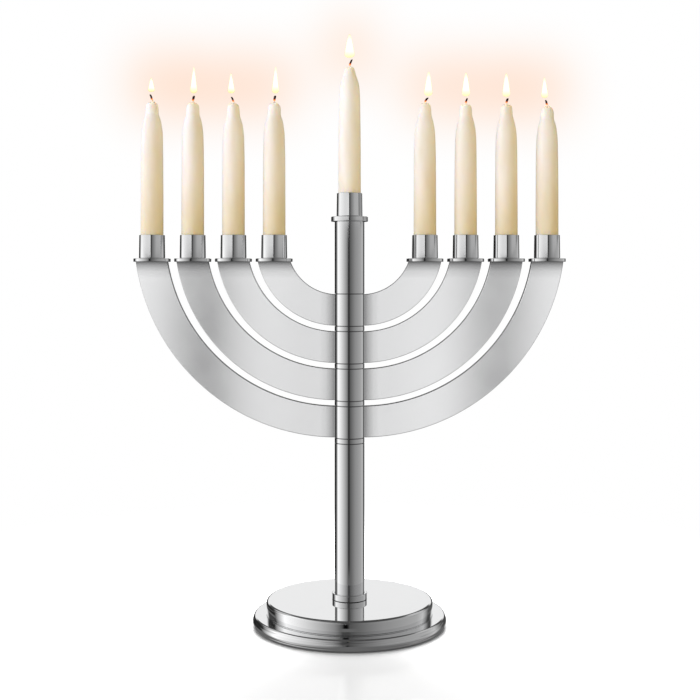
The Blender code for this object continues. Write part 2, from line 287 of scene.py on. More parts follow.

# Painted glow round each flame, a warm tint on a sheet that only the camera sees, and how
# strong it is there.
GLOW_STRENGTH = {
    "candle_4_left": 0.62,
    "candle_3_left": 0.62,
    "candle_2_left": 0.58,
    "candle_1_left": 0.58,
    "centre_candle": 0.60,
    "candle_1_right": 0.55,
    "candle_2_right": 0.55,
    "candle_3_right": 0.60,
    "candle_4_right": 0.60,
}
GLOW_RISE = 0.014
GLOW_WIDTH = 0.0245
GLOW_HEIGHT = 0.027
GLOW_REACH = 2.6
GLOW_GAP = 0.0003
GLOW_COLOUR = "FFE6D4"


# ---------------------------------------------------------------- node helpers


def linear(value):
    """The linear brightness of a display value from 0 to 255, and beyond."""
    share = value / 255.0
    if share <= 0.04045:
        return share / 12.92
    return ((share + 0.055) / 1.055) ** 2.4


def hex_colour(text):
    """The linear RGBA of a display colour written as six hex digits."""
    parts = [linear(int(text[i : i + 2], 16)) for i in (0, 2, 4)]
    return (*parts, 1.0)


class Nodes:
    """A node tree with short ways to add and join nodes."""

    def __init__(self, tree):
        self.tree = tree

    def add(self, kind, *sources, **settings):
        """Add a node, set its properties and feed its inputs in order."""
        node = self.tree.nodes.new(kind)
        for key, value in settings.items():
            setattr(node, key, value)
        for index, source in enumerate(sources):
            self.feed(node.inputs[index], source)
        return node

    def feed(self, socket, source):
        """Set a socket to a number or colour, or join an output to it."""
        if source is None:
            return
        if isinstance(source, bpy.types.NodeSocket):
            self.tree.links.new(source, socket)
        else:
            socket.default_value = source

    def math(self, operation, *sources):
        """The result of a Math node."""
        return self.add("ShaderNodeMath", *sources, operation=operation).outputs[0]

    def ramp(self, factor, stops, interpolation="LINEAR"):
        """The colour of a ramp whose stops are (position, grey or RGBA)."""
        node = self.add("ShaderNodeValToRGB", factor)
        bar = node.color_ramp
        bar.interpolation = interpolation
        while len(bar.elements) < len(stops):
            bar.elements.new(1.0)
        for element, (position, colour) in zip(bar.elements, stops):
            element.position = position
            if isinstance(colour, (int, float)):
                colour = (colour, colour, colour, 1.0)
            element.color = colour
        return node.outputs["Color"]

    def map_range(self, value, low, high, to_low, to_high, kind="LINEAR"):
        """A value carried from one range to another, clamped."""
        node = self.add("ShaderNodeMapRange", interpolation_type=kind)
        for name, source in (
            ("Value", value),
            ("From Min", low),
            ("From Max", high),
            ("To Min", to_low),
            ("To Max", to_high),
        ):
            self.feed(node.inputs[name], source)
        return node.outputs["Result"]

    def step(self, value, edges):
        """0 below the first edge and 1 past the second, with a soft change between."""
        low, high = edges
        if low <= high:
            return self.map_range(value, low, high, 0.0, 1.0, "SMOOTHSTEP")
        return self.map_range(value, high, low, 1.0, 0.0, "SMOOTHSTEP")

    def mix_colour(self, factor, first, second, blend="MIX"):
        """A mix of two colours."""
        node = self.tree.nodes.new("ShaderNodeMix")
        node.data_type = "RGBA"
        node.blend_type = blend
        self.feed(node.inputs[0], factor)
        self.feed(node.inputs[6], first)
        self.feed(node.inputs[7], second)
        return node.outputs[2]

    def noise(self, place, scale, detail=3.0, roughness=0.5, distortion=0.0):
        """A noise texture's value."""
        node = self.add("ShaderNodeTexNoise")
        self.feed(node.inputs["Vector"], place)
        node.inputs["Scale"].default_value = scale
        node.inputs["Detail"].default_value = detail
        node.inputs["Roughness"].default_value = roughness
        node.inputs["Distortion"].default_value = distortion
        return node.outputs["Fac"]

    def stretched(self, place, scale):
        """Coordinates scaled by a different amount along each axis."""
        node = self.add("ShaderNodeMapping")
        self.feed(node.inputs["Vector"], place)
        node.inputs["Scale"].default_value = scale
        return node.outputs["Vector"]

    def bump(self, height, distance, strength=1.0, normal=None):
        """A bumped normal."""
        node = self.add("ShaderNodeBump")
        node.inputs["Strength"].default_value = strength
        node.inputs["Distance"].default_value = distance
        self.feed(node.inputs["Height"], height)
        self.feed(node.inputs["Normal"], normal)
        return node.outputs["Normal"]


def new_material(name):
    """A material with one Principled shader; returns it, its nodes, and the shader."""
    material = bpy.data.materials.new(name)
    material.use_nodes = True
    nodes = Nodes(material.node_tree)
    material.node_tree.nodes.clear()
    shader = nodes.add("ShaderNodeBsdfPrincipled")
    output = nodes.add("ShaderNodeOutputMaterial")
    nodes.feed(output.inputs["Surface"], shader.outputs["BSDF"])
    return material, nodes, shader


def object_place(nodes):
    """Coordinates that stay with a piece when it moves."""
    return nodes.add("ShaderNodeTexCoord").outputs["Object"]


# ---------------------------------------------------------------- materials


def seam_heights():
    """Heights at which the pieces of the stem meet."""
    stack = ["lower_column"]
    for arm in reversed(ARMS):
        stack += [f"spacer_ring_{arm}", f"arm_{arm}_hub"]
    stack.append("upper_column")
    boxes = [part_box(node) for node in stack]
    return [(below[1].z + above[0].z) / 2.0 for below, above in zip(boxes, boxes[1:])]


def polished_nickel():
    """Mirror-bright nickel with smears, hairlines and painted shade along the seams."""
    material, nodes, shader = new_material("polished_nickel")
    place = object_place(nodes)
    smears = nodes.noise(place, 55.0, 5.0, 0.6, 0.4)
    film = nodes.noise(place, 14.0, 2.0)
    cloud = nodes.math("MULTIPLY", smears, film)
    rough = nodes.map_range(cloud, 0.12, 0.45, 0.030, 0.085)
    hairs = nodes.noise(nodes.stretched(place, (2600.0, 2600.0, 240.0)), 1.0, 2.0)
    height = nodes.add("ShaderNodeSeparateXYZ", place).outputs["Z"]
    nearest = 1.0
    for seam in seam_heights():
        away = nodes.math("ABSOLUTE", nodes.math("SUBTRACT", height, seam))
        nearest = nodes.math("MINIMUM", away, nearest)
    # Painted shade: the colour darkens to SEAM_TONE at each seam between stem pieces, where
    # the gaps fall in shade.
    painted_seam_shade = nodes.map_range(nearest, SEAM_REACH / 2.0, SEAM_REACH, SEAM_TONE, 1.0)
    tone = nodes.mix_colour(1.0, (0.86, 0.862, 0.866, 1.0), painted_seam_shade, "MULTIPLY")
    nodes.feed(shader.inputs["Base Color"], tone)
    shader.inputs["Metallic"].default_value = 1.0
    nodes.feed(shader.inputs["Roughness"], rough)
    nodes.feed(shader.inputs["Normal"], nodes.bump(hairs, 0.0000012, 0.35))
    return material


def satin_nickel():
    """The branches' satin nickel, with painted shade beside the hub, under the discs and on
    faces that look up, and a faint random mottle.
    """
    material, nodes, shader = new_material("satin_nickel")
    place = object_place(nodes)
    axes = nodes.add("ShaderNodeSeparateXYZ", place).outputs
    reach = nodes.math("ABSOLUTE", axes["X"])
    # Painted shade beside the hub, where the column shades the plate.
    painted_shade_beside_hub = nodes.ramp(
        nodes.map_range(reach, 0.0, 0.030, 0.0, 1.0),
        ((0.45, 0.40), (0.52, 0.58), (0.68, 0.88), (0.85, 1.0)),
    )
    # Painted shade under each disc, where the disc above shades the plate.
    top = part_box("arm_1_disc_left")[0].z
    painted_shade_under_disc = nodes.ramp(
        nodes.map_range(axes["Z"], top, top - 0.016, 0.0, 1.0),
        ((0.0, 0.18), (0.2, 0.50), (0.5, 0.84), (0.9, 1.0)),
    )
    painted_shade_and_mottle = nodes.mix_colour(1.0, painted_shade_beside_hub, painted_shade_under_disc, "MULTIPLY")
    clouds = nodes.noise(place, 22.0, 4.0)
    cloudy = nodes.map_range(clouds, 0.3, 0.7, 0.975, 1.0)
    painted_shade_and_mottle = nodes.mix_colour(1.0, painted_shade_and_mottle, cloudy, "MULTIPLY")
    # Painted shade on faces that look up, so the top edges of the plate read dark.
    facing = nodes.add("ShaderNodeNewGeometry").outputs["Normal"]
    upward = nodes.add("ShaderNodeSeparateXYZ", facing).outputs["Z"]
    painted_shade_facing_up = nodes.map_range(upward, 0.15, 0.55, 1.0, 0.22)
    painted_shade_and_mottle = nodes.mix_colour(1.0, painted_shade_and_mottle, painted_shade_facing_up, "MULTIPLY")
    tone = nodes.mix_colour(1.0, (0.86, 0.862, 0.868, 1.0), painted_shade_and_mottle, "MULTIPLY")
    grain = nodes.noise(nodes.stretched(place, (420.0, 420.0, 2400.0)), 1.0, 4.0)
    nodes.feed(shader.inputs["Base Color"], tone)
    shader.inputs["Metallic"].default_value = 1.0
    rough = nodes.map_range(clouds, 0.3, 0.7, 0.165, 0.195)
    nodes.feed(shader.inputs["Roughness"], rough)
    nodes.feed(shader.inputs["Normal"], nodes.bump(grain, 0.000004, 0.25))
    return material


def ivory_wax():
    """Soft ivory wax with a faint bloom, shallow ripples, and painted shade that darkens and
    yellows it toward the cup.
    """
    material, nodes, shader = new_material("ivory_wax")
    place = object_place(nodes)
    cloudy = nodes.noise(nodes.stretched(place, (90.0, 90.0, 22.0)), 1.0, 4.0)
    tone = nodes.mix_colour(
        nodes.map_range(cloudy, 0.3, 0.7, 0.0, 1.0),
        hex_colour("F0E7CF"),
        hex_colour("E9DCBC"),
    )
    axes = nodes.add("ShaderNodeSeparateXYZ", place).outputs
    cup_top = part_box("arm_1_cup_left")[1].z
    # Painted light and shade: the wax is whiter up toward the flame and darker and yellower
    # down by the cup.
    lit_through = nodes.map_range(axes["Z"], cup_top, cup_top + 0.10, 0.0, 1.0)
    depth = nodes.ramp(
        lit_through,
        (
            (0.0, (0.86, 0.78, 0.58, 1.0)),
            (0.5, (0.97, 0.93, 0.86, 1.0)),
            (1.0, (1.0, 1.0, 1.0, 1.0)),
        ),
    )
    tone = nodes.mix_colour(1.0, tone, depth, "MULTIPLY")
    bloom = nodes.noise(place, 260.0, 3.0)
    ripple = nodes.noise(nodes.stretched(place, (160.0, 160.0, 60.0)), 1.0, 3.0)
    nodes.feed(shader.inputs["Base Color"], tone)
    rough = nodes.map_range(bloom, 0.3, 0.7, 0.36, 0.48)
    nodes.feed(shader.inputs["Roughness"], rough)
    nodes.feed(shader.inputs["Normal"], nodes.bump(ripple, 0.00025, 0.35))
    shader.inputs["Subsurface Weight"].default_value = 0.55
    shader.inputs["Subsurface Radius"].default_value = (1.0, 0.62, 0.30)
    shader.inputs["Subsurface Scale"].default_value = 0.0042
    shader.inputs["IOR"].default_value = 1.44
    return material


def burnt_wick(low, high):
    """Waxy cotton at the foot, an ember above it, and a black tip."""
    material, nodes, shader = new_material("burnt_wick")
    place = object_place(nodes)
    height = nodes.add("ShaderNodeSeparateXYZ", place).outputs["Z"]
    wobble = nodes.math("MULTIPLY", nodes.noise(place, 900.0, 2.0), 0.12)
    along = nodes.math("ADD", nodes.map_range(height, low, high, 0.0, 1.0), wobble)
    colour = nodes.ramp(
        along,
        (
            (0.00, hex_colour("F4E6D0")),
            (0.26, hex_colour("F3D6B4")),
            (0.36, hex_colour("E0782A")),
            (0.48, hex_colour("7A2B12")),
            (0.60, hex_colour("2B100C")),
            (1.00, hex_colour("140A09")),
        ),
    )
    glow = nodes.ramp(
        along,
        (
            (0.26, (0.0, 0.0, 0.0, 1.0)),
            (0.37, (1.0, 0.32, 0.04, 1.0)),
            (0.48, (0.40, 0.04, 0.01, 1.0)),
            (0.58, (0.0, 0.0, 0.0, 1.0)),
        ),
    )
    fibres = nodes.noise(nodes.stretched(place, (2500.0, 2500.0, 900.0)), 1.0, 3.0)
    nodes.feed(shader.inputs["Base Color"], colour)
    nodes.feed(shader.inputs["Roughness"], nodes.map_range(fibres, 0.3, 0.7, 0.7, 0.95))
    nodes.feed(shader.inputs["Emission Color"], glow)
    shader.inputs["Emission Strength"].default_value = 0.9
    nodes.feed(shader.inputs["Normal"], nodes.bump(fibres, 0.0002, 0.8))
    return material


def flame_glow(name, low, high):
    """The bright core of a flame: yellow and thin at the foot, white above."""
    material, nodes, shader = new_material(name)
    place = object_place(nodes)
    height = nodes.add("ShaderNodeSeparateXYZ", place).outputs["Z"]
    flicker = nodes.math("MULTIPLY", nodes.noise(place, 240.0, 2.0), 0.08)
    along = nodes.math("ADD", nodes.map_range(height, low, high, 0.0, 1.0), flicker)
    colour = nodes.ramp(
        along,
        (
            (0.04, (1.0, 0.72, 0.28, 1.0)),
            (0.14, (1.0, 0.86, 0.46, 1.0)),
            (0.30, (1.0, 0.95, 0.80, 1.0)),
            (0.80, (1.0, 0.95, 0.80, 1.0)),
            (1.00, (1.0, 0.88, 0.55, 1.0)),
        ),
    )
    clear = nodes.map_range(along, 0.02, 0.16, 0.15, 1.0, "SMOOTHSTEP")
    shader.inputs["Base Color"].default_value = (0.0, 0.0, 0.0, 1.0)
    shader.inputs["Roughness"].default_value = 1.0
    shader.inputs["Specular IOR Level"].default_value = 0.0
    nodes.feed(shader.inputs["Emission Color"], colour)
    shader.inputs["Emission Strength"].default_value = 1.9
    nodes.feed(shader.inputs["Alpha"], clear)
    return material


def flame_mantle():
    """The thin yellow skin of hot gas round a flame."""
    material, nodes, shader = new_material("flame_mantle")
    place = object_place(nodes)
    wisps = nodes.noise(nodes.stretched(place, (700.0, 700.0, 160.0)), 1.0, 2.0)
    colour = nodes.mix_colour(wisps, (1.0, 0.80, 0.36, 1.0), (1.0, 0.90, 0.52, 1.0))
    shader.inputs["Base Color"].default_value = (0.0, 0.0, 0.0, 1.0)
    shader.inputs["Roughness"].default_value = 1.0
    shader.inputs["Specular IOR Level"].default_value = 0.0
    nodes.feed(shader.inputs["Emission Color"], colour)
    shader.inputs["Emission Strength"].default_value = 1.0
    shader.inputs["Alpha"].default_value = 0.42
    return material


def felt():
    """Dark pressed felt for the underside."""
    material, nodes, shader = new_material("felt")
    place = object_place(nodes)
    fluff = nodes.noise(place, 900.0, 5.0, 0.7)
    patches = nodes.noise(place, 60.0, 3.0)
    tone = nodes.mix_colour(
        nodes.math("MULTIPLY", fluff, patches),
        hex_colour("15171C"),
        hex_colour("3B3F49"),
    )
    nodes.feed(shader.inputs["Base Color"], tone)
    nodes.feed(shader.inputs["Roughness"], nodes.map_range(fluff, 0.0, 1.0, 0.85, 1.0))
    nodes.feed(shader.inputs["Normal"], nodes.bump(fluff, 0.0004, 0.8))
    shader.inputs["Sheen Weight"].default_value = 0.5
    return material


def cast_iron():
    """Sand-cast iron for the hidden weight."""
    material, nodes, shader = new_material("cast_iron")
    place = object_place(nodes)
    sand = nodes.noise(place, 700.0, 6.0, 0.65)
    stain = nodes.noise(place, 45.0, 4.0)
    tone = nodes.mix_colour(stain, hex_colour("2E2D2C"), hex_colour("4A443E"))
    nodes.feed(shader.inputs["Base Color"], tone)
    nodes.feed(shader.inputs["Roughness"], nodes.map_range(sand, 0.2, 0.8, 0.55, 0.85))
    nodes.feed(shader.inputs["Normal"], nodes.bump(sand, 0.0004, 0.7))
    shader.inputs["Metallic"].default_value = 0.6
    return material


def bolt_steel():
    """Zinc-bright steel for the tie bolt."""
    material, nodes, shader = new_material("bolt_steel")
    place = object_place(nodes)
    marks = nodes.noise(nodes.stretched(place, (900.0, 900.0, 90.0)), 1.0, 4.0)
    blotch = nodes.noise(place, 120.0, 4.0)
    tone = nodes.mix_colour(blotch, hex_colour("A9ADB2"), hex_colour("C6C9CC"))
    nodes.feed(shader.inputs["Base Color"], tone)
    nodes.feed(shader.inputs["Roughness"], nodes.map_range(marks, 0.2, 0.8, 0.25, 0.5))
    nodes.feed(shader.inputs["Normal"], nodes.bump(marks, 0.00003, 0.5))
    shader.inputs["Metallic"].default_value = 1.0
    return material


def floor_white():
    """A glossy white table top that fades into the backdrop."""
    material, nodes, shader = new_material("floor_white")
    place = object_place(nodes)
    haze = nodes.noise(place, 3.0, 3.0)
    tone = nodes.mix_colour(haze, (0.80, 0.80, 0.80, 1.0), (0.82, 0.82, 0.82, 1.0))
    away = nodes.add("ShaderNodeVectorMath", place, operation="LENGTH")
    fade = (FLOOR_RADIUS * 0.95, FLOOR_SOLID_TO)
    solid = nodes.step(away.outputs["Value"], fade)
    nodes.feed(shader.inputs["Base Color"], tone)
    nodes.feed(shader.inputs["Roughness"], nodes.map_range(haze, 0.3, 0.7, 0.10, 0.14))
    nodes.feed(shader.inputs["Alpha"], solid)
    shader.inputs["IOR"].default_value = 1.55
    return material


# ---------------------------------------------------------------- mesh helpers


def unit(vector):
    """A 2-D vector made one long."""
    length = math.hypot(vector[0], vector[1])
    return (vector[0] / length, vector[1] / length)


def outward(direction):
    """The outward side of an edge of a counter-clockwise outline."""
    return (direction[1], -direction[0])


def rounded_outline(corners, closed, steps=CORNER_STEPS):
    """Round the corners of an (r, z, fillet) outline into (r, z, normal) rings."""
    rings = []
    count = len(corners)
    for index, (radius, height, fillet) in enumerate(corners):
        first = closed or index > 0
        last = closed or index < count - 1
        before = corners[index - 1][:2] if first else None
        after = corners[(index + 1) % count][:2] if last else None
        here = (radius, height)
        ahead = unit((after[0] - here[0], after[1] - here[1])) if after else None
        behind = unit((here[0] - before[0], here[1] - before[1])) if before else ahead
        ahead = ahead or behind
        turn = math.atan2(
            behind[0] * ahead[1] - behind[1] * ahead[0],
            behind[0] * ahead[0] + behind[1] * ahead[1],
        )
        if abs(turn) < SOFT_TURN:
            side = unit((behind[0] + ahead[0], behind[1] + ahead[1]))
            rings.append((radius, height, outward(side)))
            continue
        fillet = fillet or CRISP_EDGE
        arc_steps = steps if fillet > CRISP_EDGE else 1
        back = fillet * math.tan(abs(turn) / 2.0)
        start = (radius - behind[0] * back, height - behind[1] * back)
        left = (-behind[1], behind[0])
        for step in range(arc_steps + 1):
            angle = abs(turn) * step / arc_steps
            along = fillet * math.sin(angle)
            aside = fillet * (1.0 - math.cos(angle)) * math.copysign(1.0, turn)
            bend = math.copysign(angle, turn)
            heading = (
                behind[0] * math.cos(bend) - behind[1] * math.sin(bend),
                behind[0] * math.sin(bend) + behind[1] * math.cos(bend),
            )
            rings.append(
                (
                    start[0] + behind[0] * along + left[0] * aside,
                    start[1] + behind[1] * along + left[1] * aside,
                    outward(heading),
                )
            )
    return rings


def new_piece(name, vertices, faces, material, normals=None):
    """Link a smooth-shaded mesh object, with its own normals if they are given."""
    mesh = bpy.data.meshes.new(name)
    mesh.from_pydata(vertices, [], faces)
    mesh.polygons.foreach_set("use_smooth", [True] * len(mesh.polygons))
    mesh.materials.append(material)
    if normals is not None:
        mesh.normals_split_custom_set_from_vertices(normals)
    mesh.update()
    piece = bpy.data.objects.new(name, mesh)
    bpy.context.scene.collection.objects.link(piece)
    return piece


def lathe(name, rings, segments, material, centre=(0.0, 0.0), closed=False):
    """Turn (r, z, normal) rings round a vertical axis."""
    vertices = []
    normals = []
    starts = []
    for radius, height, (out, up) in rings:
        pole = radius < 1e-7
        starts.append((len(vertices), pole))
        for step in range(1 if pole else segments):
            angle = 2.0 * math.pi * step / segments
            cosine, sine = math.cos(angle), math.sin(angle)
            x = centre[0] + radius * cosine
            y = centre[1] + radius * sine
            vertices.append((x, y, height))
            if pole:
                normals.append((0.0, 0.0, math.copysign(1.0, up)))
            else:
                normals.append((out * cosine, out * sine, up))
    faces = []
    pairs = list(zip(starts, starts[1:]))
    if closed:
        pairs.append((starts[-1], starts[0]))
    for (low, low_pole), (high, high_pole) in pairs:
        for step in range(segments):
            after = (step + 1) % segments
            if low_pole:
                faces.append((low, high + after, high + step))
            elif high_pole:
                faces.append((low + step, low + after, high))
            else:
                faces.append((low + step, low + after, high + after, high + step))
    return new_piece(name, vertices, faces, material, normals)


def middle(low, high):
    """The X and Y of a box's centre."""
    return ((low.x + high.x) / 2.0, (low.y + high.y) / 2.0)


def mount(piece, node):
    """Let a finished piece stand for a CAD node and ride on its body."""
    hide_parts(node)
    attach(piece, NODE_BODY[node])


# ---------------------------------------------------------------- turned metal


def stem_piece(node, material, edge, bore, neck=True):
    """A turned stem piece, with a thin neck on top that closes the seam above it."""
    low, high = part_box(node)
    radius = high.x
    corners = [
        (bore, low.z, 0.0),
        (radius, low.z, edge),
        (radius, high.z, edge),
    ]
    if neck:
        outer = radius - NECK_DEPTH
        corners += [
            (outer, high.z, 0.0),
            (outer, high.z + NECK_HEIGHT, 0.0),
            (outer - NECK_WALL, high.z + NECK_HEIGHT, 0.0),
            (outer - NECK_WALL, high.z, 0.0),
        ]
    corners.append((bore, high.z, 0.0))
    rings = rounded_outline(corners, True)
    piece = lathe(f"{node}_turned", rings, STEM_SEGMENTS, material, closed=True)
    mount(piece, node)


def tube_piece(node, material):
    """A length of stem tube with closed ends, bored for the bolt."""
    low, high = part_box(node)
    radius = high.x
    inner = radius - TUBE_WALL
    end = TUBE_WALL
    outer = radius - NECK_DEPTH
    corners = [
        (BOLT_BORE, low.z, 0.0),
        (radius, low.z, STEM_EDGE),
        (radius, high.z, STEM_EDGE),
        (outer, high.z, 0.0),
        (outer, high.z + NECK_HEIGHT, 0.0),
        (outer - NECK_WALL, high.z + NECK_HEIGHT, 0.0),
        (outer - NECK_WALL, high.z, 0.0),
        (BOLT_BORE, high.z, 0.0),
        (BOLT_BORE, high.z - end, 0.0),
        (inner, high.z - end, 0.0),
        (inner, low.z + end, 0.0),
        (BOLT_BORE, low.z + end, 0.0),
    ]
    rings = rounded_outline(corners, True)
    piece = lathe(f"{node}_turned", rings, STEM_SEGMENTS, material, closed=True)
    mount(piece, node)


def collar(node, material):
    """The ring round the foot of the stem, with a softened top edge."""
    low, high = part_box(node)
    bore = STEM_BOX_HIGH.x + 0.0002
    corners = [
        (bore, low.z, 0.0),
        (high.x, low.z, STEM_EDGE),
        (high.x, high.z, COLLAR_EDGE),
        (bore, high.z, 0.0),
    ]
    rings = rounded_outline(corners, True)
    piece = lathe(f"{node}_turned", rings, STEM_SEGMENTS, material, closed=True)
    mount(piece, node)


def disc(node, material, bore):
    """A drip disc with rounded edges."""
    low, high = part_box(node)
    radius = (high.x - low.x) / 2.0
    corners = [
        (bore, low.z, 0.0),
        (radius, low.z, DISC_EDGE),
        (radius, high.z, DISC_EDGE),
        (bore, high.z, 0.0),
    ]
    rings = rounded_outline(corners, True)
    piece = lathe(
        f"{node}_turned", rings, CUP_SEGMENTS, material, middle(low, high), True
    )
    mount(piece, node)
    return piece


def cup(node, disc_node, material, floor, spigot):
    """A candle cup with a rounded lip, seated on its disc."""
    low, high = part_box(node)
    radius = (high.x - low.x) / 2.0
    inner = radius - CUP_WALL
    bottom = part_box(disc_node)[1].z
    seat = bottom + NECK_HEIGHT + floor
    corners = []
    if spigot:
        corners += [
            (0.0, low.z, 0.0),
            (spigot, low.z, 0.0),
            (spigot, bottom, 0.0),
        ]
    else:
        corners += [(0.0, bottom, 0.0)]
    corners += [
        (radius - NECK_DEPTH, bottom, 0.0),
        (radius - NECK_DEPTH, bottom + NECK_HEIGHT, 0.0),
        (radius, bottom + NECK_HEIGHT, STEM_EDGE),
        (radius - CUP_TAPER, high.z, LIP_EDGE),
        (inner, high.z, LIP_EDGE),
        (inner, seat, STEM_EDGE),
        (0.0, seat, 0.0),
    ]
    rings = rounded_outline(corners, False)
    piece = lathe(f"{node}_turned", rings, CUP_SEGMENTS, material, middle(low, high))
    mount(piece, node)
    return piece


def barrel(radius, low, high, bulge):
    """Points up a side that swells by the bulge, without the two ends."""
    points = []
    for step in range(1, BARREL_STEPS):
        share = step / BARREL_STEPS
        swell = 1.0 - (2.0 * share - 1.0) ** 2
        points.append((radius + bulge * swell, low + (high - low) * share, 0.0))
    return points


def foot_disc(material):
    """The wide lower disc: a shell whose side is barrelled."""
    low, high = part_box("foot_disc")
    rim = high.x - FOOT_BULGE
    corners = [(rim, low.z, FOOT_LOW_EDGE)]
    corners += barrel(rim, low.z + FOOT_LOW_EDGE, high.z - FOOT_EDGE, FOOT_BULGE)
    corners += [
        (rim, high.z, FOOT_EDGE),
        (FOOT_OPENING, high.z, 0.0),
        (FOOT_OPENING, high.z - FOOT_PLATE, 0.0),
        (rim - FOOT_WALL, high.z - FOOT_PLATE, 0.0),
        (rim - FOOT_WALL, low.z, 0.0),
    ]
    rings = rounded_outline(corners, True, steps=12)
    piece = lathe("foot_disc_turned", rings, BASE_SEGMENTS, material, closed=True)
    mount(piece, "foot_disc")


def step_disc(material):
    """The upper disc of the base, with a rounded top edge."""
    low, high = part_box("step_disc")
    foot_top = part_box("foot_disc")[1].z
    bore = BOLT_BORE
    shell = high.x - FOOT_WALL
    rim = high.x - STEP_BULGE
    corners = [
        (shell, low.z, 0.0),
        (shell, foot_top, 0.0),
        (high.x - NECK_DEPTH, foot_top, 0.0),
        (high.x - NECK_DEPTH, low.z, 0.0),
        (rim, low.z, STEP_FOOT_EDGE),
        *barrel(rim, low.z + STEP_FOOT_EDGE, high.z - STEP_EDGE, STEP_BULGE),
        (rim, high.z, STEP_EDGE),
        (bore, high.z, 0.0),
        (bore, high.z - FOOT_PLATE, 0.0),
        (shell, high.z - FOOT_PLATE, 0.0),
    ]
    rings = rounded_outline(corners, True, steps=12)
    piece = lathe("step_disc_turned", rings, BASE_SEGMENTS, material, closed=True)
    mount(piece, "step_disc")


# ---------------------------------------------------------------- branches


def branch_section(inner, outer, half_thickness):
    """A rounded rectangle of (radius, y, normal) points round a branch."""
    points = []
    for sign_r, sign_y, first in ((1, 1, 0), (-1, 1, 90), (-1, -1, 180), (1, -1, 270)):
        edge_r = outer if sign_r > 0 else inner
        centre_r = edge_r - sign_r * BRANCH_EDGE
        centre_y = sign_y * (half_thickness - BRANCH_EDGE)
        for step in range(BRANCH_CORNER_STEPS + 1):
            angle = math.radians(first + 90.0 * step / BRANCH_CORNER_STEPS)
            normal = (math.cos(angle), math.sin(angle))
            point_r = centre_r + BRANCH_EDGE * normal[0]
            point_y = centre_y + BRANCH_EDGE * normal[1]
            points.append((point_r, point_y, normal))
    return points


def branch(arm, side, material):
    """One flat branch: a plate bent to a circle, cut level under its disc."""
    node = f"arm_{arm}_branch_{side}"
    low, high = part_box(node)
    sign = -1.0 if side == "left" else 1.0
    hub_low, hub_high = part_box(f"arm_{arm}_hub")
    hub_middle = (hub_low.z + hub_high.z) / 2.0
    disc_low, disc_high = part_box(f"arm_{arm}_disc_{side}")
    top = disc_low.z - BRANCH_TOP_SINK
    reach = abs(middle(disc_low, disc_high)[0])
    run = reach - BRANCH_ARC_CENTRE
    rise = disc_low.z - hub_middle
    mean = (run * run + rise * rise) / (2.0 * rise)
    centre_z = hub_middle + mean
    half = BRANCH_WIDTH / 2.0
    section = branch_section(mean - half, mean + half, (high.y - low.y) / 2.0)
    vertices = []
    normals = []
    for step in range(BRANCH_ARC_STEPS + 1):
        for radius, y, (out, across) in section:
            start = math.asin(BRANCH_INSET / radius)
            finish = math.acos((centre_z - top) / radius)
            angle = start + (finish - start) * step / BRANCH_ARC_STEPS
            sine, cosine = math.sin(angle), math.cos(angle)
            x = sign * (BRANCH_ARC_CENTRE + radius * sine)
            vertices.append((x, y, centre_z - radius * cosine))
            normals.append((sign * out * sine, across, -out * cosine))
    around = len(section)
    faces = []
    for step in range(BRANCH_ARC_STEPS):
        first = step * around
        for index in range(around):
            after = (index + 1) % around
            quad = (
                first + index,
                first + after,
                first + around + after,
                first + around + index,
            )
            faces.append(quad if sign > 0 else quad[::-1])
    start_cap = tuple(range(around))
    finish = BRANCH_ARC_STEPS * around
    end_cap = tuple(finish + index for index in range(around))
    faces.append(start_cap[::-1] if sign > 0 else start_cap)
    faces.append(end_cap if sign > 0 else end_cap[::-1])
    piece = new_piece(f"{node}_plate", vertices, faces, material, normals)
    mount(piece, node)
    return piece


# ---------------------------------------------------------------- candles


def smooth_between(shape, depth):
    """The radius at a depth, on a smooth curve through the shape's points."""
    depths = [point[0] for point in shape]
    radii = [point[1] for point in shape]
    if depth >= depths[-1]:
        return radii[-1]
    index = max(0, min(len(shape) - 2, int(np.searchsorted(depths, depth)) - 1))
    slopes = []
    for at in (index, index + 1):
        lower, upper = max(0, at - 1), min(len(shape) - 1, at + 1)
        slopes.append((radii[upper] - radii[lower]) / (depths[upper] - depths[lower]))
    span = depths[index + 1] - depths[index]
    share = (depth - depths[index]) / span
    square, cube = share * share, share**3
    return (
        (2 * cube - 3 * square + 1) * radii[index]
        + (cube - 2 * square + share) * span * slopes[0]
        + (3 * square - 2 * cube) * radii[index + 1]
        + (cube - square) * span * slopes[1]
    )


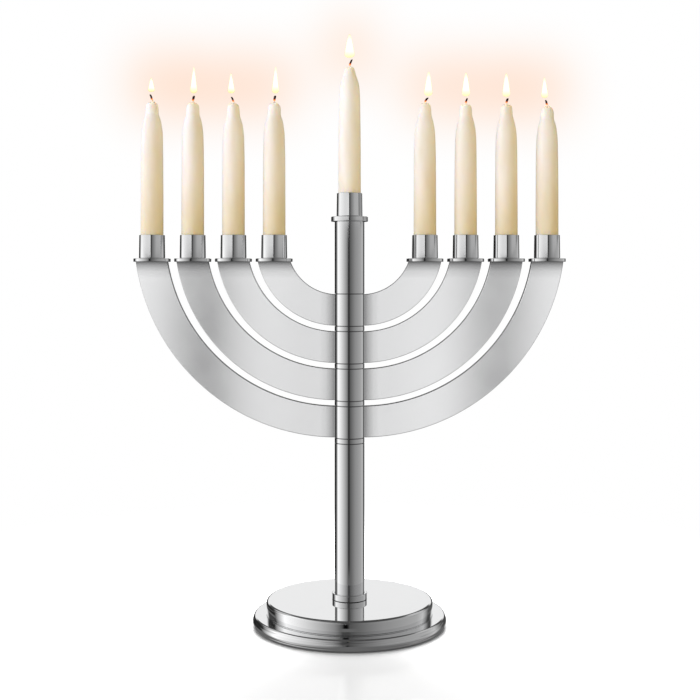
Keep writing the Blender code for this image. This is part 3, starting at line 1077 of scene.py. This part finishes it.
def wax_candle(node, shape_name, seed, material):
    """A hand-dipped candle, burnt down at the tip, with uneven wax."""
    low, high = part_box(node)
    centre = middle(low, high)
    foot_radius = (high.x - low.x) / 2.0
    length = high.z - low.z
    shape = WAX_SHAPES[shape_name] + ((length, foot_radius - 0.0001),)
    vertices = []
    for ring in range(WAX_RINGS + 1):
        share = ring / WAX_RINGS
        depth = length * share**2.2
        base = smooth_between(shape, depth)
        above_foot = length - depth
        if above_foot < WAX_FOOT_EDGE:
            lost = 1.0 - above_foot / WAX_FOOT_EDGE
            base -= WAX_FOOT_EDGE * (1.0 - math.sqrt(1.0 - lost * lost))
        near_tip = math.exp(-depth / 0.006)
        shoulder = math.exp(-depth / 0.030)
        for step in range(WAX_SEGMENTS):
            angle = 2.0 * math.pi * step / WAX_SEGMENTS
            cosine, sine = math.cos(angle), math.sin(angle)
            spot = Vector((cosine * 1.2 + seed, sine * 1.2, depth * 120.0))
            wide = Vector((cosine * 0.7 - seed, sine * 0.7, depth * 22.0 + seed))
            fine = Vector((cosine * 3.2, sine * 3.2 + seed, depth * 420.0))
            radius = base
            radius += 0.00008 * noise.noise(wide)
            radius += 0.00045 * shoulder * noise.noise(wide * 1.7)
            radius += 0.00030 * near_tip * noise.noise(spot)
            radius += 0.00016 * near_tip * noise.noise(fine)
            radius = min(radius, foot_radius)
            sag = 0.0007 * near_tip * (noise.noise(spot * 1.6) - 0.25)
            x = centre[0] + radius * cosine
            y = centre[1] + radius * sine
            z = high.z - depth + min(sag, depth * 0.8)
            vertices.append((x, y, z))
    faces = []
    for ring in range(WAX_RINGS):
        for step in range(WAX_SEGMENTS):
            after = (step + 1) % WAX_SEGMENTS
            first = ring * WAX_SEGMENTS
            second = first + WAX_SEGMENTS
            faces.append((second + step, second + after, first + after, first + step))
    vertices.append((centre[0], centre[1], high.z - 0.0006))
    vertices.append((centre[0], centre[1], low.z))
    tip, bottom = len(vertices) - 2, len(vertices) - 1
    last = WAX_RINGS * WAX_SEGMENTS
    for step in range(WAX_SEGMENTS):
        after = (step + 1) % WAX_SEGMENTS
        faces.append((step, after, tip))
        faces.append((last + after, last + step, bottom))
    piece = new_piece(f"{node}_wax", vertices, faces, material)
    mount(piece, node)
    return piece


def wick_piece(node, candle_node, seed):
    """A burnt wick that stands in the wax and bends over at the tip."""
    low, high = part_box(node)
    wax_low, wax_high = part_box(candle_node)
    foot_x, foot_y = middle(wax_low, wax_high)
    lean_right = high.x - foot_x
    lean_left = foot_x - low.x
    thick = (high.y - low.y) / 2.0
    lean = (lean_right if lean_right > lean_left else -lean_left) * 0.85
    root = wax_high.z - WICK_ROOT
    stand = high.z - wax_high.z
    vertices = []
    for ring in range(WICK_RINGS + 1):
        share = ring / WICK_RINGS
        rise = (WICK_ROOT + stand - thick * 0.4) * share
        above = max(0.0, rise - WICK_ROOT)
        bend = (above / stand) ** 1.7
        x = foot_x + lean * bend
        y = foot_y - 0.0004 * bend
        taper = 1.0 if share < 0.9 else math.sqrt(max(0.03, 1 - ((share - 0.9) / 0.1) ** 2))
        swell = 1.0 + 0.12 * math.sin(share * 5.0 + seed)
        for step in range(WICK_SEGMENTS):
            angle = 2.0 * math.pi * step / WICK_SEGMENTS
            cosine, sine = math.cos(angle), math.sin(angle)
            ply = math.sin(3.0 * angle + share * 26.0)
            knot = noise.noise(Vector((cosine * 2 + seed, sine * 2, share * 14)))
            radius = thick * WICK_GAIN * taper * swell + WICK_KNOT_SIZE * (knot + 0.35 * ply)
            vertices.append((x + radius * cosine, y + radius * sine, root + rise))
    faces = []
    for ring in range(WICK_RINGS):
        for step in range(WICK_SEGMENTS):
            after = (step + 1) % WICK_SEGMENTS
            first = ring * WICK_SEGMENTS
            second = first + WICK_SEGMENTS
            faces.append((first + step, first + after, second + after, second + step))
    last = WICK_RINGS * WICK_SEGMENTS
    faces.append(tuple(range(WICK_SEGMENTS))[::-1])
    faces.append(tuple(last + step for step in range(WICK_SEGMENTS)))
    material = burnt_wick(wax_high.z - 0.0004, high.z)
    piece = new_piece(f"{node}_burnt", vertices, faces, material)
    mount(piece, node)
    return piece


def flame_mesh(name, foot, height, width, notch, fullness, drift, material):
    """A closed teardrop that narrows to a point, notched below at front and back."""
    vertices = []
    for ring in range(FLAME_RINGS + 1):
        share = (ring / FLAME_RINGS) ** 1.25
        rounding = math.sqrt(1.0 - (1.0 - min(1.0, share / FLAME_FOOT)) ** 2)
        swell = max(0.008, rounding * (1.0 - share) ** fullness)
        for step in range(FLAME_SEGMENTS):
            angle = 2.0 * math.pi * step / FLAME_SEGMENTS
            cosine, sine = math.cos(angle), math.sin(angle)
            raised = notch * sine * sine * (1.0 - share) ** 3
            radius = width / 2.0 * FLAME_WIDTH_GAIN * swell
            x = foot[0] + drift * share * share + radius * cosine
            y = foot[1] + radius * sine * FLAME_FLATNESS
            vertices.append((x, y, foot[2] + height * share + raised))
    faces = []
    for ring in range(FLAME_RINGS):
        for step in range(FLAME_SEGMENTS):
            after = (step + 1) % FLAME_SEGMENTS
            first = ring * FLAME_SEGMENTS
            second = first + FLAME_SEGMENTS
            faces.append((first + step, first + after, second + after, second + step))
    last = FLAME_RINGS * FLAME_SEGMENTS
    faces.append(tuple(range(FLAME_SEGMENTS))[::-1])
    faces.append(tuple(last + step for step in range(FLAME_SEGMENTS)))
    piece = new_piece(name, vertices, faces, material)
    piece.visible_shadow = False
    return piece


def flame(node, wick_node, offset, lift, height, width, notch, fullness):
    """A flame: a white core in a thin yellow mantle, and the light that it gives."""
    wax_low, wax_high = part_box(node)
    x, y = middle(wax_low, wax_high)
    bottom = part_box(wick_node)[1].z + lift
    foot = (x + offset, y, bottom)
    drift = offset * 0.15
    glow = flame_glow(f"{node}_flame", bottom, bottom + height)
    core = flame_mesh(
        f"{node}_flame", foot, height, width, notch, fullness, drift, glow
    )
    skin = FLAME_SKIN
    foot = (foot[0], foot[1], bottom - skin)
    mantle = flame_mesh(
        f"{node}_mantle",
        foot,
        height + 2.6 * skin,
        width + 2.0 * skin,
        notch,
        fullness,
        drift,
        flame_mantle(),
    )
    for piece in (core, mantle):
        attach(piece, NODE_BODY[node])
    data = bpy.data.lights.new(f"{node}_light", "POINT")
    data.energy = FLAME_POWER
    data.color = (1.0, 0.74, 0.45)
    data.shadow_soft_size = width / 3.0
    light = bpy.data.objects.new(f"{node}_light", data)
    light.location = (foot[0], foot[1], bottom + height * 0.3)
    light.visible_glossy = False
    light.visible_camera = False
    bpy.context.scene.collection.objects.link(light)
    light.parent = core
    light.matrix_parent_inverse = core.matrix_world.inverted()
    return core


def warm_air():
    """A painted flame glow: clear, and tinting what is behind it warm, most of all in the
    middle.
    """
    material = bpy.data.materials.new("warm_air")
    material.use_nodes = True
    material.node_tree.nodes.clear()
    nodes = Nodes(material.node_tree)
    away = nodes.add("ShaderNodeVectorMath", object_place(nodes), operation="LENGTH")
    away = away.outputs["Value"]
    bell = nodes.math("POWER", math.exp(-0.5), nodes.math("MULTIPLY", away, away))
    rim = math.exp(-0.5 * GLOW_REACH**2)
    bell = nodes.map_range(bell, rim, 1.0, 0.0, 1.0)
    strength = nodes.add("ShaderNodeObjectInfo").outputs["Alpha"]
    tint = nodes.mix_colour(
        nodes.math("MULTIPLY", bell, strength),
        (1.0, 1.0, 1.0, 1.0),
        hex_colour(GLOW_COLOUR),
    )
    air = nodes.add("ShaderNodeBsdfTransparent", tint)
    output = nodes.add("ShaderNodeOutputMaterial")
    nodes.feed(output.inputs["Surface"], air.outputs[0])
    return material


def painted_glow_sheet(core, node, layer, material):
    """A sheet of painted flame glow that goes with a flame and is no part of the menorah."""
    reach = GLOW_REACH
    corners = ((-reach, -reach), (reach, -reach), (reach, reach), (-reach, reach))
    mesh = bpy.data.meshes.new(f"{node}_haze")
    mesh.from_pydata([(x, 0.0, z) for x, z in corners], [], [(0, 1, 2, 3)])
    mesh.materials.append(material)
    haze = bpy.data.objects.new(f"{node}_haze", mesh)
    low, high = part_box(node)
    x, y = middle(low, high)
    haze.location = (x, y + layer * GLOW_GAP, high.z + GLOW_RISE)
    haze.scale = (GLOW_WIDTH, 1.0, GLOW_HEIGHT)
    haze.color = (1.0, 1.0, 1.0, GLOW_STRENGTH[node])
    haze.visible_diffuse = False
    haze.visible_glossy = False
    haze.visible_transmission = False
    haze.visible_volume_scatter = False
    haze.visible_shadow = False
    bpy.context.scene.collection.objects.link(haze)
    haze.parent = core
    haze.matrix_parent_inverse = core.matrix_world.inverted()


# ---------------------------------------------------------------- studio


def band_stops(band):
    """Ramp stops for a band of surroundings, allowing for the metal's own tone."""
    return [
        (degrees / 360.0 + 0.5, linear(value) / METAL_TONE) for degrees, value in band
    ]


def make_world():
    """Surroundings that the metal mirrors, and a white backdrop."""
    world = bpy.data.worlds.new("studio")
    bpy.context.scene.world = world
    world.use_nodes = True
    tree = world.node_tree
    tree.nodes.clear()
    nodes = Nodes(tree)
    way = nodes.add("ShaderNodeTexCoord").outputs["Generated"]
    axes = nodes.add("ShaderNodeSeparateXYZ", way).outputs
    toward = nodes.math("MULTIPLY", axes["Y"], -1.0)
    bearing = nodes.math("ARCTAN2", axes["X"], toward)
    turn = nodes.math("ADD", nodes.math("DIVIDE", bearing, 2.0 * math.pi), 0.5)
    height = axes["Z"]
    lower = nodes.ramp(turn, band_stops(LOWER_BAND))
    upper = nodes.ramp(turn, band_stops(UPPER_BAND))
    in_upper = nodes.math(
        "SUBTRACT",
        nodes.step(height, UPPER_BAND_FROM),
        nodes.step(height, UPPER_BAND_TO),
    )
    lit = nodes.mix_colour(in_upper, lower, upper)
    for zone, share in (
        (CEILING_FROM, CEILING_SHARE),
        (GROUND_FROM, GROUND_SHARE),
        (DEEP_FROM, DEEP_SHARE),
    ):
        dimmed = nodes.mix_colour(1.0, lower, (share,) * 3 + (1.0,), "MULTIPLY")
        lit = nodes.mix_colour(nodes.step(height, zone), lit, dimmed)
    side = nodes.math(
        "SUBTRACT",
        nodes.step(height, SIDE_SKY_FROM),
        nodes.step(height, CEILING_FROM),
    )
    side = nodes.math("MULTIPLY", side, nodes.step(axes["Y"], SIDE_SKY_FRONT))
    lit = nodes.mix_colour(side, lit, (SIDE_SKY_LIGHT,) * 3 + (1.0,))
    behind = nodes.step(axes["Y"], BACK_DARK_FRONT)
    over_wall = nodes.math("MULTIPLY", behind, nodes.step(height, BACK_WALL_TO))
    dark = nodes.mix_colour(1.0, lower, (BACK_DARK_SHARE,) * 3 + (1.0,), "MULTIPLY")
    lit = nodes.mix_colour(over_wall, lit, dark)
    raised = nodes.mix_colour(1.0, lit, (OVERHEAD_FILL,) * 3 + (1.0,), "LIGHTEN")
    lit = nodes.mix_colour(nodes.step(height, OVERHEAD_FROM), lit, raised)
    filled = nodes.mix_colour(1.0, lit, (FRONT_FILL,) * 3 + (1.0,), "LIGHTEN")
    lit = nodes.mix_colour(nodes.step(height, FRONT_FILL_BELOW), lit, filled)
    back = nodes.math(
        "SUBTRACT",
        nodes.step(height, BACK_WALL_FROM),
        nodes.step(height, BACK_WALL_TO),
    )
    back = nodes.math("MULTIPLY", back, nodes.step(axes["Y"], BACK_WALL_FRONT))
    lit = nodes.mix_colour(back, lit, (BACK_WALL_LIGHT,) * 3 + (1.0,))
    seen = nodes.add("ShaderNodeLightPath").outputs["Is Camera Ray"]
    shown = nodes.mix_colour(seen, lit, (1.0, 1.0, 1.0, 1.0))
    background = nodes.add("ShaderNodeBackground", shown)
    output = nodes.add("ShaderNodeOutputWorld")
    nodes.feed(output.inputs["Surface"], background.outputs[0])


def soft_light(name, place, aim, size, energy, colour, lit):
    """A softbox that lights the matt surfaces and isn't mirrored in the metal."""
    data = bpy.data.lights.new(name, "AREA")
    data.shape = "SQUARE"
    data.size = size
    data.energy = energy
    data.color = colour
    light = bpy.data.objects.new(name, data)
    light.location = place
    way = Vector(aim) - Vector(place)
    light.rotation_euler = way.to_track_quat("-Z", "Y").to_euler()
    light.visible_glossy = False
    light.visible_camera = False
    bpy.context.scene.collection.objects.link(light)
    light.light_linking.receiver_collection = lit


def receivers(name, pieces):
    """A collection of the only pieces that a light falls on."""
    lit = bpy.data.collections.new(name)
    for piece in pieces:
        lit.objects.link(piece)
    return lit


def card_lights(plates):
    """White cards beside the camera, for the satin branches alone."""
    lit = receivers("lit_by_cards", plates)
    for index, (across, width, brightness) in enumerate(CARDS):
        data = bpy.data.lights.new(f"card_{index}", "AREA")
        data.shape = "RECTANGLE"
        data.size = width
        data.size_y = CARD_HEIGHT
        data.energy = brightness * math.pi * width * CARD_HEIGHT
        card = bpy.data.objects.new(f"card_{index}", data)
        card.location = (across, -CAMERA_DISTANCE, CARD_MIDDLE)
        card.rotation_euler = (math.radians(90.0), 0.0, 0.0)
        card.visible_camera = False
        bpy.context.scene.collection.objects.link(card)
        card.light_linking.receiver_collection = lit
    data = bpy.data.lights.new("rear_card", "AREA")
    data.shape = "RECTANGLE"
    data.size = REAR_CARD_WIDTH
    data.size_y = CARD_HEIGHT
    data.energy = REAR_CARD_BRIGHTNESS * math.pi * REAR_CARD_WIDTH * CARD_HEIGHT
    card = bpy.data.objects.new("rear_card", data)
    card.location = (0.0, CAMERA_DISTANCE, REAR_CARD_MIDDLE)
    card.rotation_euler = (math.radians(-90.0), 0.0, 0.0)
    card.visible_camera = False
    bpy.context.scene.collection.objects.link(card)
    card.light_linking.receiver_collection = lit


def make_floor():
    """A round white table top; the mirrors don't show it."""
    rings = [
        (0.0, 0.0, (0.0, 1.0)),
        (FLOOR_RADIUS, 0.0, (0.0, 1.0)),
    ]
    floor = lathe("floor", rings[::-1], 96, floor_white())
    floor.visible_glossy = False
    return floor


def make_camera():
    """A level camera in front of the menorah."""
    data = bpy.data.cameras.new("camera")
    data.lens = CAMERA_LENS
    data.sensor_width = 36.0
    data.shift_x, data.shift_y = CAMERA_SHIFT
    camera = bpy.data.objects.new("camera", data)
    camera.location = (0.0, -CAMERA_DISTANCE, CAMERA_HEIGHT)
    camera.rotation_euler = (math.radians(90.0), 0.0, 0.0)
    bpy.context.scene.collection.objects.link(camera)
    bpy.context.scene.camera = camera


# ---------------------------------------------------------------- build

NODE_BODY = {
    node: body.removeprefix("body:")
    for node, body in ((n, o.parent.name) for n, o in frame["nodes"].items())
}
STEM_BOX_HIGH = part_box("lower_column")[1]

mirror = polished_nickel()
satin = satin_nickel()
wax = ivory_wax()
painted_glow_look = warm_air()
plates = []
candles = []
hidden_from_mirrors = []

foot_disc(mirror)
step_disc(mirror)
collar("column_collar", mirror)
tube_piece("lower_column", mirror)
tube_piece("upper_column", mirror)
for arm in ARMS:
    stem_piece(f"spacer_ring_{arm}", mirror, STEM_EDGE, BOLT_BORE)
    stem_piece(f"arm_{arm}_hub", mirror, STEM_EDGE, BOLT_BORE)
    for side in SIDES:
        plates.append(branch(arm, side, satin))
        arm_disc = disc(f"arm_{arm}_disc_{side}", mirror, 0.0018)
        arm_cup = cup(
            f"arm_{arm}_cup_{side}",
            f"arm_{arm}_disc_{side}",
            mirror,
            ARM_CUP_FLOOR,
            0.0015,
        )
        hidden_from_mirrors += [plates[-1], arm_disc, arm_cup]
disc("centre_disc", mirror, BOLT_BORE)
cup("centre_cup", "centre_disc", mirror, CENTRE_CUP_FLOOR, 0.0)

for seed, (node, look) in enumerate(CANDLES.items()):
    wick_node = node.replace("candle", "wick")
    if node == "centre_candle":
        wick_node = "centre_wick"
    shape_name, *flame_look = look
    candles.append(wax_candle(node, shape_name, seed * 7.3 + 1.9, wax))
    candles.append(wick_piece(wick_node, node, seed * 3.1 + 0.7))
    core = flame(node, wick_node, *flame_look)
    painted_glow_sheet(core, node, seed, painted_glow_look)

for node, material in (
    ("felt_pad", felt()),
    ("ballast_weight", cast_iron()),
    ("tie_bolt", bolt_steel()),
):
    for slot in frame["nodes"][node].material_slots:
        slot.material = material

for piece in hidden_from_mirrors + candles:
    piece.visible_glossy = False

make_world()
floor = make_floor()
make_camera()
card_lights(plates)
candle_light = receivers("lit_candles", candles)
floor_light = receivers("lit_floor", [floor])
cool, warm, white = (0.52, 0.60, 1.04), (1.0, 0.82, 0.48), (1.0, 1.0, 1.0)
foot = (0.0, 0.0, 0.0)
wax_middle = (0.0, 0.0, 0.38)
soft_light("top", (0.0, 0.1, 1.6), foot, 1.6, 25.0, white, floor_light)
soft_light("back", (0.0, 1.1, 1.5), foot, 1.2, 66.0, white, floor_light)
soft_light("key", (-1.5, -0.75, 0.6), wax_middle, 1.2, 35.0, cool, candle_light)
soft_light("fill", (1.4, -0.8, 0.5), wax_middle, 1.2, 8.0, warm, candle_light)
soft_light("front", (-0.1, -1.3, 0.75), wax_middle, 0.6, 5.6, white, candle_light)
bpy.context.scene.view_settings.view_transform = "Standard"
